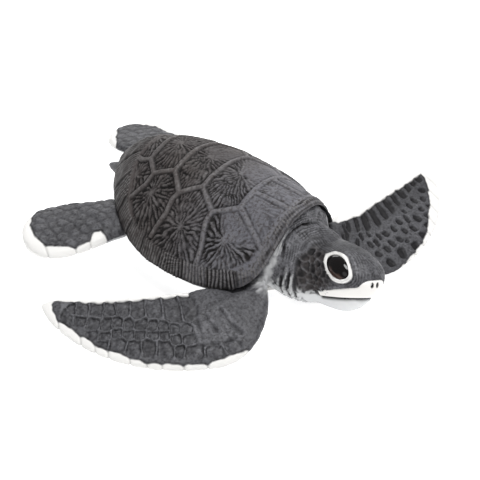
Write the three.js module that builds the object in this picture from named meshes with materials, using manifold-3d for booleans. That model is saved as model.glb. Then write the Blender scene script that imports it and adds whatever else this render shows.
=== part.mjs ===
// Moulded soft-vinyl figure of a hatchling sea turtle, resting on its belly and flippers.
// Millimetres, +Z up, head towards -Y, so the turtle's left is +X. The figure is built round the
// middle of its shell and moved at the end, so that its origin is the middle of its footprint.
import * as THREE from 'three';
import { mergeVertices } from 'three/addons/utils/BufferGeometryUtils.js';
import Module from 'manifold-3d';

const wasm = await Module();
wasm.setup();

// ---------------------------------------------------------------- driving dimensions

const gap = 0.3;              // slit left between neighbouring pieces

const shell = {
  halfLength: 50,
  halfWidth: 39.3,
  egg: 0.17,                  // how far the widest place lies ahead of the middle
  frontSquareness: 2.4,       // superellipse power at the neck end
  rearSquareness: 1.83,       // and at the tail end
  rimSide: 11.3,              // height of the rim over the floor at the flanks,
  rimRear: 25.2,              // over the tail
  rimFront: 39,               // and at the top of the arch over the neck
  archAngle: 0.394,           // half width of that arch, as an angle round the outline
  archPower: 2.16,
  archSpread: 1.2,            // how much wider the arch grows up the dome
  base: 20,                   // level from which the dome rises
  rise: 23,
  crownPower: 2.13,
  flankPower: 0.777,
  apexBack: 2.2,              // top of the dome, behind the middle
  lean: 0.089,                // the dome is this much lower towards the head
  wall: 3,
  rimWall: 0.9,
  rimInset: 2.4,
};

const belly = { halfLength: 43, halfWidth: 27, thick: 4, flat: 0.86, forward: 2 };
const trunk = {
  roofGap: 2,                 // hollow between the shell and the back
  rimInset: 6,                // flanks, inside the rim of the shell
  frontInset: 1,              // and where the collar of skin fills the arch over the neck
  frontBulge: 5,
  frontAngle: 0.62,           // half width of the collar, as an angle round the outline
  floor: 2.2,
  fullness: 0.62,
};

// Front flipper, in its own frame: span runs from the shoulder to the tip, chord towards the
// leading edge, both in mm.
const fore = {
  tip: 73.5,
  widest: 13,                 // span at which the blade is widest
  lead: 34,                   // leading edge there
  trail: -3,                  // trailing edge at its ends,
  trailBow: 2.4,              // and how far it bows towards the leading edge between them
  bladeThick: 5.2,
  thinFrom: 10,               // span from which the blade thins to its tip
  tipThick: 2.6,
  tipRound: 10,               // length over which the trailing edge curves in to the tip
  edgeRun: 9,                 // breadth below which the blade thins as well
  shoulderThick: 11,
  shoulderSag: 3,
  shoulderSpan: [-2, 34],     // the shoulder's thickness fades out along the span here,
  shoulderChord: [2, 24],     // and towards the leading edge here
  shoulderTrail: [12, 32],    // and its trailing edge runs into the blade this far from the root
  rootRound: 8,
  rootPower: 3.2,             // how square the leading edge is towards the root
};
const hind = {
  root: -4,
  tip: 44.5,
  widest: 28,
  halfWidth: 16.5,
  endPower: 2.6,              // how square the end is
  rootHalfWidth: 11,
  broadFrom: 2,               // span from which it widens
  rootRound: 6,
  thick: 5.5,
  rootThick: 9,
  thinOver: [4, 30],          // span over which the root's thickness fades
};
const edgeRoundness = 0.75;   // power of the flippers' rounded edges
const underRim = { clear: 1.8, slope: 55 };   // how flippers duck under the rim of the shell

// Where each flipper's shoulder point is, where its span runs to, and how far the leading edge dips.
const foreRight = {
  at: [-36, -38.5, 13.4], towards: [-0.653, 0.751, -0.08], dip: 19, side: -1, root: -16,
  shoulderTrail: -16, breadth: 1.01, leadPower: 0.69,
};
const foreLeft = {
  at: [24, -40, 11], towards: [1, -0.018, -0.045], dip: 15, side: 1, root: -8,
  shoulderTrail: -5, breadth: 1, leadPower: 0.645,
};
const hindRight = { at: [-22, 30, 11.2], towards: [-0.835, 0.54, -0.07], dip: 3, side: -1 };
const hindLeft = { at: [25.5, 42, 12.3], towards: [0.2, 0.97, -0.14], dip: 6, side: 1 };

const neck = {
  start: [-1.5, -38, 17],
  end: [-0.5, -66, 14.8],
  radius: 18.4,
  headRadius: 15.6,
  above: 0.95,                // half heights over and under the axis, as shares of the radius
  below: 0.87,
  topNarrow: 0.16,
};
const head = {
  at: [0.4, -60, 15.2],       // on the axis of the head, above the back of the jaw
  yaw: 13,                    // degrees towards the turtle's right
  pitch: 16,                  // degrees upwards
  roll: 19,                   // degrees that its left side is tipped down
  back: -10,                  // how far the skull reaches behind that point
  length: 30.5,
  halfWidth: 12.9,
  crown: 12.4,
  jaw: 14.5,
  brow: 0.25,                 // how much wider the head is at the brow than at its middle
  frontPower: 3,
  chinPower: 3.8,
  jawShort: 0.88,             // the chin ends behind the tip of the beak
};
// Along and up from the same point, on the sides of the head.
const mouth = { corner: 8.7, cornerUp: -8.9, frontUp: -4.6 };
const beakTop = { cornerUp: -6.5, slope: 0.31, tab: 2.6, tabFrom: 27.2, tabTo: 30 };
const eye = {
  along: 18.5,
  out: 9.1,
  up: 5,
  halfLength: 6.9,
  halfHeight: 4.2,
  thick: 3,
  lookUp: 29,                 // degrees
  lookAhead: 17,
  tilt: 17,                   // its front end is this much lower
  farSink: 1,                 // the left eye is set deeper
};
const tail = { at: [0, 44, 15], tip: [6, 68, 8], radius: 5.5 };

// ---------------------------------------------------------------- helpers

const clamp = THREE.MathUtils.clamp;
const lerp = THREE.MathUtils.lerp;
const smooth = THREE.MathUtils.smoothstep;
const vec = (a) => new THREE.Vector3(...a);

// A sphere whose every point is moved to place(angle round its axis, 0 to 1 along it).
function shapedSphere(around, along, place) {
  const geometry = new THREE.SphereGeometry(1, around, along);
  const { position, uv } = geometry.attributes;
  for (let i = 0; i < position.count; i += 1) {
    const t = 1 - uv.getY(i);
    const atPole = t < 1e-6 || t > 1 - 1e-6;
    const p = place(atPole ? 0 : uv.getX(i) * 2 * Math.PI, t);
    position.setXYZ(i, p.x, p.y, p.z);
  }
  return solidOf(geometry);
}

function solidOf(geometry) {
  geometry.deleteAttribute('normal');
  geometry.deleteAttribute('uv');
  const merged = mergeVertices(geometry, 1e-4);
  const vertProperties = Float32Array.from(merged.attributes.position.array);
  const triVerts = Uint32Array.from(merged.index.array);
  const p = [0, 1, 2].map(() => new THREE.Vector3());
  let volume = 0;
  for (let t = 0; t < triVerts.length; t += 3) {
    p.forEach((v, k) => v.fromArray(vertProperties, 3 * triVerts[t + k]));
    volume += p[0].dot(p[1].clone().cross(p[2]));
  }
  if (volume < 0) {
    for (let t = 0; t < triVerts.length; t += 3) {
      [triVerts[t + 1], triVerts[t + 2]] = [triVerts[t + 2], triVerts[t + 1]];
    }
  }
  return new wasm.Manifold(new wasm.Mesh({ numProp: 3, vertProperties, triVerts }));
}

const group = new THREE.Group();

function addPiece(name, solid, colour, roughness) {
  const { vertProperties, triVerts } = solid.getMesh();
  const geometry = new THREE.BufferGeometry();
  geometry.setAttribute('position', new THREE.BufferAttribute(Float32Array.from(vertProperties), 3));
  geometry.setIndex(new THREE.BufferAttribute(Uint32Array.from(triVerts), 1));
  geometry.computeVertexNormals();
  const material = new THREE.MeshStandardMaterial({ color: colour, roughness, metalness: 0 });
  const mesh = new THREE.Mesh(geometry, material);
  mesh.name = name;
  group.add(mesh);
}

// ---------------------------------------------------------------- shell, trunk and belly plate

// Half width of the shell at a distance ahead of its middle.
function shellHalfWidth(ahead, inset) {
  const halfLength = shell.halfLength - inset;
  const t = clamp(ahead / halfLength, -1, 1);
  const power = lerp(shell.rearSquareness, shell.frontSquareness, 0.5 + 0.5 * t);
  return (shell.halfWidth - inset) * (1 - Math.abs(t) ** power) ** (1 / power) * (1 + shell.egg * t);
}

// Height of the rim; the angle is 0 over the neck and pi over the tail.
function rimHeight(angle, radius = 1) {
  const a = Math.abs(Math.atan2(Math.sin(angle), Math.cos(angle)));
  const behind = clamp((a - Math.PI / 2) / (Math.PI / 2), 0, 1);
  const rear = (shell.rimRear - shell.rimSide) * (0.5 - 0.5 * Math.cos(Math.PI * behind));
  const halfArch = shell.archAngle * (1 + shell.archSpread * (1 - radius));
  const arch = (shell.rimFront - shell.rimSide) * Math.exp(-((a / halfArch) ** shell.archPower));
  return shell.rimSide + rear + arch;
}

// A point of the dome: angle as above, radius 0 at the top of the dome and 1 at the rim.
function domePoint(angle, radius, inset = 0, drop = 0) {
  const r = clamp(radius, 0, 1);
  const rimAhead = (shell.halfLength - inset) * Math.cos(angle);
  const ahead = lerp(-shell.apexBack, rimAhead, r);
  const side = Math.sign(Math.sin(angle)) * shellHalfWidth(rimAhead, inset) * r;
  const height = shell.base + (rimHeight(angle, r) - shell.base) * r * r
    + shell.rise * (1 - r ** shell.crownPower) ** shell.flankPower
    - shell.lean * ahead * (1 - r * r);
  return new THREE.Vector3(side, -ahead, height - drop);
}

// Radii for the rings from the top of the dome to its rim, closer together near the rim.
const ringRadius = (t) => Math.sin(t * Math.PI / 2) ** 0.9;

// Even steps round the outline: the angle of the ellipse, opened a little at both ends.
const outlineAngle = (a) => a - 0.12 * Math.sin(2 * a);

function carapaceSolid(extra) {
  return shapedSphere(50, 18, (angle, t) => {
    const a = outlineAngle(angle);
    if (t <= 0.5) return domePoint(a, ringRadius(t * 2), -extra, -extra);
    const r = ringRadius((1 - t) * 2);
    const wall = lerp(shell.wall, shell.rimWall, r ** 5) + extra;
    return domePoint(a, r, shell.rimInset + extra, wall);
  });
}

function trunkSolid(extra) {
  return shapedSphere(36, 16, (angle, t) => {
    const a = outlineAngle(angle);
    const turned = Math.atan2(Math.sin(a), Math.cos(a));
    const front = Math.exp(-((turned / trunk.frontAngle) ** 4));
    const inset = lerp(trunk.rimInset, trunk.frontInset, front) - extra;
    const roof = shell.wall + trunk.roofGap - extra;
    const under = lerp(roof, shell.rimWall + 2 * gap - extra, front);
    if (t <= 0.5) return domePoint(a, ringRadius(t * 2), inset, lerp(roof, under, t * 2));
    const edge = domePoint(a, 1, inset, under);
    const down = (t - 0.5) * Math.PI;
    const spread = Math.cos(down) ** trunk.fullness;
    const sink = Math.sin(down) ** 0.8;
    const bulge = trunk.frontBulge * front * Math.sin(2 * down) ** 0.7;
    return new THREE.Vector3(edge.x * spread, edge.y * spread - bulge,
      lerp(edge.z, trunk.floor - extra, sink));
  });
}

function bellySolid(extra) {
  return shapedSphere(36, 8, (angle, t) => {
    const up = Math.cos(t * Math.PI);
    const out = Math.sin(t * Math.PI) ** 0.35;
    const ahead = (belly.halfLength + extra) * Math.cos(angle) * out;
    const side = (belly.halfWidth + extra) * Math.sin(angle) * out;
    const z = up > 0 ? belly.thick / 2 + (belly.thick / 2 + extra) * up ** 0.8
      : belly.thick / 2 * (1 - Math.min(1, -up / (1 - belly.flat))) - extra;
    return new THREE.Vector3(side, -ahead - belly.forward, z);
  });
}

// ---------------------------------------------------------------- flippers

// Turns span, chord and lift in a flipper's own frame into a place on the figure.
function flipperFrame(limb) {
  const span = vec(limb.towards).normalize();
  const up = new THREE.Vector3(0, 0, 1);
  const chord = new THREE.Vector3().crossVectors(up, span).multiplyScalar(-limb.side).normalize();
  chord.applyAxisAngle(span, THREE.MathUtils.degToRad(limb.dip) * limb.side);
  const lift = new THREE.Vector3().crossVectors(chord, span).multiplyScalar(-limb.side);
  if (lift.z < 0) lift.negate();
  return (s, c, n) => vec(limb.at).addScaledVector(span, s).addScaledVector(chord, c)
    .addScaledVector(lift, n);
}

function foreLead(s, { root, breadth, leadPower }) {
  if (s > fore.widest) {
    const t = (s - fore.widest) / (fore.tip - fore.widest);
    return fore.lead * breadth * Math.max(0, 1 - t * t) ** leadPower;
  }
  const t = (fore.widest - s) / (fore.widest - root);
  return fore.lead * breadth * Math.max(0, 1 - t ** fore.rootPower) ** 0.5;
}

function foreTrail(s, { root, shoulderTrail }) {
  const [leaves, meets] = fore.shoulderTrail;
  const shoulder = 1 - smooth(s, root + leaves, root + meets);
  const end = clamp((s - fore.tip) / fore.tipRound + 1, 0, 1);
  const bow = fore.trailBow * Math.sin(Math.PI * clamp(s / fore.tip, 0, 1));
  const straight = fore.trail * (1 - end * end) + bow;
  const rootEnd = clamp((s - root) / fore.rootRound, 0, 1) ** 0.5;
  return lerp(straight, shoulderTrail * rootEnd, shoulder);
}

// How far a point has to come down to pass under the rim of the shell.
function duckUnderRim(p) {
  const ahead = -p.y / shell.halfLength;
  const power = lerp(shell.rearSquareness, shell.frontSquareness, 0.5 + 0.5 * clamp(ahead, -1, 1));
  const side = p.x / (shell.halfWidth * (1 + shell.egg * clamp(ahead, -1, 1)));
  const radius = (Math.abs(ahead) ** power + Math.abs(side) ** power) ** (1 / power);
  const ceiling = rimHeight(Math.atan2(side, ahead)) - underRim.clear
    + underRim.slope * Math.max(0, radius - 1);
  return Math.max(0, p.z - ceiling);
}

function foreSolid(limb) {
  const place = flipperFrame(limb);
  return shapedSphere(18, 20, (angle, t) => {
    const s = lerp(limb.root, fore.tip, 0.5 - 0.5 * Math.cos(t * Math.PI));
    const lead = foreLead(s, limb);
    const trail = foreTrail(s, limb);
    const across = Math.cos(angle);
    const c = lerp(trail, lead, 0.5 + 0.5 * across);
    const blade = lerp(fore.bladeThick, fore.tipThick, smooth(s, fore.thinFrom, fore.tip));
    const shoulder = (1 - smooth(s, ...fore.shoulderSpan)) * (1 - smooth(c, ...fore.shoulderChord));
    const thick = lerp(blade, fore.shoulderThick, shoulder);
    const ends = clamp((lead - trail) / fore.edgeRun, 0, 1) ** 0.6;
    const half = 0.5 * thick * ends * Math.abs(Math.sin(angle)) ** edgeRoundness;
    const sag = fore.shoulderSag * shoulder;
    const p = place(s, c, half * Math.sign(Math.sin(angle)) - sag);
    p.z -= duckUnderRim(place(s, c, half - sag));
    return p;
  });
}

function hindHalfWidth(s) {
  if (s > hind.widest) {
    const t = (s - hind.widest) / (hind.tip - hind.widest);
    return hind.halfWidth * Math.max(0, 1 - t ** hind.endPower) ** 0.5;
  }
  return lerp(hind.rootHalfWidth, hind.halfWidth, smooth(s, hind.broadFrom, hind.widest));
}

function hindSolid(limb) {
  const place = flipperFrame(limb);
  return shapedSphere(16, 15, (angle, t) => {
    const s = lerp(hind.root, hind.tip, 0.5 - 0.5 * Math.cos(t * Math.PI));
    const rootEnd = clamp((s - hind.root) / hind.rootRound, 0, 1) ** 0.5;
    const w = hindHalfWidth(s) * rootEnd;
    const ends = Math.min(1, w / hind.rootRound) ** 0.6;
    const thick = lerp(hind.rootThick, hind.thick, smooth(s, ...hind.thinOver)) * ends;
    const half = 0.5 * thick * Math.abs(Math.sin(angle)) ** edgeRoundness;
    const p = place(s, w * Math.cos(angle), half * Math.sign(Math.sin(angle)));
    p.z -= duckUnderRim(place(s, w * Math.cos(angle), half));
    return p;
  });
}

// ---------------------------------------------------------------- neck, head and tail

function neckSolid(extra) {
  const from = vec(neck.start);
  const to = vec(neck.end);
  return shapedSphere(22, 9, (angle, t) => {
    const k = 0.5 - 0.5 * Math.cos(t * Math.PI);
    const r = lerp(neck.radius, neck.headRadius, k) * Math.sin(t * Math.PI) ** 0.3 + extra;
    const p = from.clone().lerp(to, k);
    const up = Math.sin(angle);
    const side = Math.cos(angle) * (1 - neck.topNarrow * up);
    return p.add(new THREE.Vector3(r * side, 0, r * (up > 0 ? neck.above : neck.below) * up));
  });
}

function headFrame() {
  const turn = new THREE.Euler(THREE.MathUtils.degToRad(-head.pitch),
    THREE.MathUtils.degToRad(head.roll), THREE.MathUtils.degToRad(-head.yaw), 'ZXY');
  return (along, out, up) => new THREE.Vector3(out, -along, up).applyEuler(turn).add(vec(head.at));
}

function headSolid(extra) {
  const place = headFrame();
  const start = head.back - extra;
  return shapedSphere(26, 16, (angle, t) => {
    const s = lerp(start, head.length + extra, 0.5 - 0.5 * Math.cos(t * Math.PI));
    const up = Math.sin(angle);
    const length = head.length * (up > 0 ? 1 : lerp(1, head.jawShort, -up)) + extra;
    const k = clamp(s / length, 0, 1);
    const back = clamp((s - start) / 8, 0, 1) ** 0.5;
    const slim = Math.max(0, 1 - k ** head.frontPower) ** 0.5;
    const wide = (head.halfWidth + extra) * back * slim;
    const top = (head.crown + extra) * back * slim;
    const bottom = (head.jaw + extra) * back * Math.max(0, 1 - k ** head.chinPower) ** 0.5;
    const side = Math.cos(angle) * (1 + head.brow * up);
    return place(Math.min(s, length), wide * side, up > 0 ? top * up : bottom * up);
  });
}

// A slab across the head, ahead of the corner of the mouth and between two heights, each a
// function of the distance along the head.
function headSlab(from, lower, upper) {
  const place = headFrame();
  const steps = 10;
  const reach = head.length + 4;
  const shape = new THREE.Shape();
  const at = (k) => lerp(from, reach, k / steps);
  shape.moveTo(at(0), lower(at(0)));
  for (let k = 1; k <= steps; k += 1) shape.lineTo(at(k), lower(at(k)));
  for (let k = steps; k >= 0; k -= 1) shape.lineTo(at(k), upper(at(k)));
  const geometry = new THREE.ExtrudeGeometry(shape, { depth: 40, bevelEnabled: false });
  const { position } = geometry.attributes;
  for (let i = 0; i < position.count; i += 1) {
    const p = place(position.getX(i), position.getZ(i) - 20, position.getY(i));
    position.setXYZ(i, p.x, p.y, p.z);
  }
  return solidOf(geometry);
}

const mouthUp = (s) => lerp(mouth.cornerUp, mouth.frontUp,
  (s - mouth.corner) / (head.length - mouth.corner));
const beakTopUp = (s) => beakTop.cornerUp + beakTop.slope * (s - mouth.corner)
  + beakTop.tab * smooth(s, beakTop.tabFrom, beakTop.tabTo);

function eyeSolid(side, extra) {
  const place = headFrame();
  const lift = THREE.MathUtils.degToRad(eye.lookUp);
  const ahead = THREE.MathUtils.degToRad(eye.lookAhead);
  const out = new THREE.Vector3(side * Math.cos(lift) * Math.cos(ahead), Math.sin(ahead),
    Math.sin(lift) * Math.cos(ahead));
  const slit = new THREE.Vector3(0, 1, 0).addScaledVector(out, -out.y).normalize();
  slit.applyAxisAngle(out, -side * THREE.MathUtils.degToRad(eye.tilt));
  const across = new THREE.Vector3().crossVectors(out, slit);
  const middle = new THREE.Vector3(side * eye.out, eye.along, eye.up);
  if (side > 0) middle.addScaledVector(out, -eye.farSink);
  return shapedSphere(16, 9, (angle, t) => {
    const r = Math.sin(t * Math.PI);
    const q = middle.clone().addScaledVector(out, (eye.thick + extra) * Math.cos(t * Math.PI))
      .addScaledVector(slit, (eye.halfLength + extra) * r * Math.cos(angle))
      .addScaledVector(across, (eye.halfHeight + extra) * r * Math.sin(angle));
    return place(q.y, q.x, q.z);
  });
}

function tailSolid(extra) {
  const from = vec(tail.at);
  const to = vec(tail.tip);
  return shapedSphere(14, 8, (angle, t) => {
    const k = 0.5 - 0.5 * Math.cos(t * Math.PI);
    const r = tail.radius * (1 - k) ** 0.6 * Math.min(1, k * 12) ** 0.5 + extra * Math.sin(t * Math.PI);
    const p = from.clone().lerp(to, k);
    return p.add(new THREE.Vector3(r * Math.cos(angle), 0, r * Math.sin(angle)));
  });
}

// ---------------------------------------------------------------- pieces

const trunkGrown = trunkSolid(gap);
const bellyGrown = bellySolid(gap);
const shellGrown = carapaceSolid(gap);
const headGrown = headSolid(gap);
const tailGrown = tailSolid(gap);
const neckGrown = neckSolid(gap);
const eyes = { right: eyeSolid(-1, 0), left: eyeSolid(1, 0) };
const sockets = eyeSolid(-1, gap).add(eyeSolid(1, gap));
const beakSlab = headSlab(mouth.corner, (s) => mouthUp(s) + gap / 2, beakTopUp);
const jawSlab = headSlab(mouth.corner, () => -2 * head.jaw, (s) => mouthUp(s) - gap / 2);
const mouthSlab = headSlab(mouth.corner - gap, () => -2 * head.jaw, (s) => beakTopUp(s) + gap);
const ground = solidOf(new THREE.BoxGeometry(400, 400, 20).translate(0, 0, -10));

const skin = 0x4a4c50;
const bodyCut = (solid) => solid.subtract(trunkGrown).subtract(shellGrown).subtract(ground);
addPiece('carapace', carapaceSolid(0), 0x47464a, 0.5);
addPiece('plastron', bellySolid(0), 0xd8d6d0, 0.55);
addPiece('trunk', trunkSolid(0).subtract(bellyGrown).subtract(shellGrown), 0x6d6e70, 0.55);
addPiece('front_flipper_right', bodyCut(foreSolid(foreRight)).subtract(neckGrown), skin, 0.5);
addPiece('front_flipper_left', bodyCut(foreSolid(foreLeft)).subtract(neckGrown), skin, 0.5);
addPiece('rear_flipper_right', bodyCut(hindSolid(hindRight)), skin, 0.5);
addPiece('rear_flipper_left', bodyCut(hindSolid(hindLeft)).subtract(tailGrown), skin, 0.5);
addPiece('tail', bodyCut(tailSolid(0)), skin, 0.5);
addPiece('neck', bodyCut(neckSolid(0)).subtract(headGrown).subtract(bellyGrown), 0x55565a, 0.5);
addPiece('head', headSolid(0).subtract(sockets).subtract(mouthSlab), 0x4c4d50, 0.5);
addPiece('beak', headSolid(0).intersect(beakSlab).subtract(sockets), 0xe6e2d8, 0.4);
addPiece('jaw', headSolid(0).intersect(jawSlab), 0xb9b7b0, 0.5);
addPiece('eye_right', eyes.right, 0x0c0b0b, 0.05);
addPiece('eye_left', eyes.left, 0x0c0b0b, 0.05);

// The origin is the middle of the footprint, on the floor.
const box = new THREE.Box3().setFromObject(group);
const middle = box.getCenter(new THREE.Vector3());
group.position.set(-middle.x, -middle.y, -box.min.z);

export default group;
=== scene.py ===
import math
import bpy
import numpy as np
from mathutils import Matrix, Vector
from mathutils.bvhtree import BVHTree


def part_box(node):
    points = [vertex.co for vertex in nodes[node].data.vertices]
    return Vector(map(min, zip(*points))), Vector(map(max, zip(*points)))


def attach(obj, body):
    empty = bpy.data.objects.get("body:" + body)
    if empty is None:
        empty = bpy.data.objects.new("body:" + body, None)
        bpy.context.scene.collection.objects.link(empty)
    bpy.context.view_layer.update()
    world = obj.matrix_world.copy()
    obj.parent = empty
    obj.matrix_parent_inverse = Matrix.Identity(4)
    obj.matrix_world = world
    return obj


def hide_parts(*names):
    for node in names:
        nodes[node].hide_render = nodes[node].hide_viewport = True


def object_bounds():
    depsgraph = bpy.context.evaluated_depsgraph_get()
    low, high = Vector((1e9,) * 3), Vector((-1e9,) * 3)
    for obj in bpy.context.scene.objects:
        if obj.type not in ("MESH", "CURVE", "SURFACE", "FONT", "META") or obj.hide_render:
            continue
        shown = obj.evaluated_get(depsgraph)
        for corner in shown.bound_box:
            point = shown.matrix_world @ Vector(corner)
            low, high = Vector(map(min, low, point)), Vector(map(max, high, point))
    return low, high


# Sea turtle hatchling figure, moulded in soft vinyl and painted by hand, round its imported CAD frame.
# Sizes are in mm and turned to metres by mm. "Ahead" is from the middle of the shell to the head.
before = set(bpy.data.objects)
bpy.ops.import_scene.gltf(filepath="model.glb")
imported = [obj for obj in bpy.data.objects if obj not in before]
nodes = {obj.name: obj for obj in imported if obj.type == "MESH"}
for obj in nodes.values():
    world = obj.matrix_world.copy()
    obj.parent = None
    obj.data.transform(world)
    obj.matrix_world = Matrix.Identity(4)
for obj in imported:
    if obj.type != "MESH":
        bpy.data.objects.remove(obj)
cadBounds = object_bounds()
mm = 0.001

# Small helpers


def activate(*pieces):
    bpy.ops.object.select_all(action="DESELECT")
    for piece in pieces:
        piece.select_set(True)
    bpy.context.view_layer.objects.active = pieces[0]


def applyModifier(piece, kind, **settings):
    activate(piece)
    bpy.ops.object.modifier_add(type=kind)
    modifier = piece.modifiers[-1]
    for name, value in settings.items():
        setattr(modifier, name, value)
    bpy.ops.object.modifier_apply(modifier=modifier.name)


def getPoints(piece):  # vertex places in mm
    flat = np.empty(len(piece.data.vertices) * 3)
    piece.data.vertices.foreach_get("co", flat)
    return flat.reshape(-1, 3) / mm


def setPoints(piece, points):
    piece.data.vertices.foreach_set("co", (points * mm).ravel())
    piece.data.update()


def getNormals(piece):
    flat = np.empty(len(piece.data.vertices) * 3)
    piece.data.vertex_normals.foreach_get("vector", flat)
    return flat.reshape(-1, 3)


def setPaint(piece, name, values):  # a mask from 0 to 1 that the materials read
    layer = piece.data.attributes.new(name, "FLOAT", "POINT")
    layer.data.foreach_set("value", np.clip(values, 0, 1).astype(np.float32))


def renamed(name):  # the piece that an operator has just made
    piece = bpy.context.object
    piece.name = name
    piece.data.name = name
    return piece


def copyOf(names, name):  # CAD nodes copied, joined and merged
    copies = []
    for node in names:
        copy = bpy.data.objects.new(node + ".copy", nodes[node].data.copy())
        copy.data.materials.clear()
        bpy.context.collection.objects.link(copy)
        copies.append(copy)
    activate(*copies)
    if len(copies) > 1:
        bpy.ops.object.join()
    editMesh(bpy.context.object, (bpy.ops.mesh.remove_doubles, {"threshold": 0.02 * mm}))
    return renamed(name)


def ramp(x, low, high):  # 0 below low, 1 above high, smooth between
    t = np.clip((x - low) / (high - low), 0, 1)
    return t * t * (3 - 2 * t)


def hill(x, width):
    return np.exp(-(x / width) ** 2)


def lineDistance(points, line):  # from points to an open line of corners
    line = np.asarray(line, float)
    best = np.full(len(points), 1e9)
    for a, b in zip(line[:-1], line[1:]):
        along = np.clip((points - a) @ (b - a) / max((b - a) @ (b - a), 1e-9), 0, 1)
        gap = points - a - along[:, None] * (b - a)
        best = np.minimum(best, np.sqrt((gap * gap).sum(1)))
    return best


def latticeValue(cell, seed):  # a fixed number from 0 to 1 for each whole-number cell
    cell = cell.astype(np.int64)
    h = cell[..., 0] * 374761393 + cell[..., 1] * 668265263 + cell[..., 2] * 2147483647 + seed * 974711
    h = (h ^ (h >> 13)) & 0xFFFFFFFF
    h = (h * 1274126177) & 0xFFFFFFFF
    return ((h ^ (h >> 16)) & 0xFFFF) / 65535.0


def noise(points, size, seed=0):  # smooth value noise with lumps about size mm across
    p = np.asarray(points, float) / size
    base = np.floor(p)
    f = p - base
    f = f * f * (3 - 2 * f)
    total = 0
    for dx in (0, 1):
        for dy in (0, 1):
            for dz in (0, 1):
                weight = np.abs(1 - dx - f[:, 0]) * np.abs(1 - dy - f[:, 1]) * np.abs(1 - dz - f[:, 2])
                total = total + weight * latticeValue(base + (dx, dy, dz), seed)
    return total


def editMesh(piece, *steps):  # runs mesh operators on the whole piece
    activate(piece)
    bpy.ops.object.mode_set(mode="EDIT")
    bpy.ops.mesh.select_all(action="SELECT")
    for step, settings in steps:
        step(**settings)
    bpy.ops.object.mode_set(mode="OBJECT")


# Shell: a disc bent over the dome and turned under at the rim, with plates, seams and star grooves

shellForm = {  # the dome of the CAD shell
    "halfLength": 50, "halfWidth": 39.3, "egg": 0.17, "frontPower": 2.4, "rearPower": 1.83,
    "rimSide": 11.3, "rimRear": 25.2, "rimFront": 39, "archAngle": 0.394, "archPower": 2.16,
    "archSpread": 1.2, "base": 20, "rise": 23, "crownPower": 2.13, "flankPower": 0.777,
    "apexBack": 2.2, "lean": 0.089, "wall": 3, "rimWall": 0.9, "rimInset": 2.4,
}
shellLook = {
    "cells": 280,  # steps across the disc
    "turnUnder": [1.02, 1.05, 1.1, 1.17, 1.28, 1.45, 1.7],  # rings under the rim
    "spokes": ((13, 0.8, 4), (25, 3.5, 8), (46, 7, 13), (76, 12, 40)),  # count, and mm out from and to
    "seamHeight": 0.42, "moat": 0.3, "grooveDepth": 0.75,
    "sink": 0.5,  # how far the relief starts below the CAD dome
    "rimPlate": 12.2, "rimStart": 4,  # mm of rim in a plate, and where the first one starts
    "fingerStep": 1.55, "fingerHeight": 0.75,  # the upright ribs on the rim
}
# Seams in plan, as ahead and side of the middle of the shell, on both flanks alike.
vertebralEdge = [(45, 5.5), (27.2, 6), (26.6, 14.3), (17, 20.5), (7, 14.5), (-0.7, 20.6), (-9, 13.7),
                 (-18, 17.1), (-24.6, 11.7), (-29, 12.5), (-33, 11)]
costalSeams = [
    [(26.8, 14.4), (35.2, 17.9), (42.1, 20)],
    [(17, 20.5), (17.1, 24.3), (20.7, 31.6), (21.3, 35.4)],
    [(-0.7, 20.6), (-1.9, 23.1), (-1.4, 27.9), (-5.1, 36.5)],
    [(-18, 17.1), (-18.9, 21.4), (-21.8, 23.6), (-24.9, 25.5)],
]
crossSeams = [(26.6, 14.3), (7, 14.5), (-9, 13.7), (-24.5, 11.7)]  # ahead, half width
# Growth centre of each plate, five down the middle and then five on a flank, from the head end:
# ahead, side, groove depth, where it is smooth (degrees) and how smooth.
stars = [
    (33, 0, 0.3, 90, 0), (15.5, 0, 1.0, 62, 1), (-1.5, 0, 1.0, 75, 0.8), (-17.5, 0, 1.05, 80, 0.5),
    (-31, 0, 0.8, 180, 0.4),
    (34, 11.5, 0.2, 0, 0), (27.7, 25, 1.1, -78, 1), (7.9, 29.5, 1.15, 0, 0.1), (-13.6, 23.5, 1.15, 0, 0.1),
    (-27.5, 18, 1.0, 180, 0.5),
]
marginInner = {  # dome radius of the seam inside the rim plates, by angle from the head end
    0: 0.905, 12: 0.91, 20: 0.92, 30: 0.95, 43: 0.918, 107: 0.918, 115: 0.91, 123: 0.88, 133: 0.82,
    147: 0.75, 158: 0.68, 168: 0.64, 180: 0.63,
}
shellLow, shellHigh = [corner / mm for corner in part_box("carapace")]
shellMiddle = (shellLow + shellHigh) / 2


def rimHeight(angle, radius):
    d = shellForm
    a = np.abs(np.arctan2(np.sin(angle), np.cos(angle)))
    behind = np.clip((a - math.pi / 2) / (math.pi / 2), 0, 1)
    rear = (d["rimRear"] - d["rimSide"]) * (0.5 - 0.5 * np.cos(math.pi * behind))
    halfArch = d["archAngle"] * (1 + d["archSpread"] * (1 - radius))
    arch = (d["rimFront"] - d["rimSide"]) * np.exp(-((a / halfArch) ** d["archPower"]))
    return d["rimSide"] + rear + arch


def shellHalfWidth(ahead, inset):
    d = shellForm
    t = np.clip(ahead / (d["halfLength"] - inset), -1, 1)
    power = d["rearPower"] + (d["frontPower"] - d["rearPower"]) * (0.5 + 0.5 * t)
    return (d["halfWidth"] - inset) * (1 - np.abs(t) ** power) ** (1 / power) * (1 + d["egg"] * t)


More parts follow.
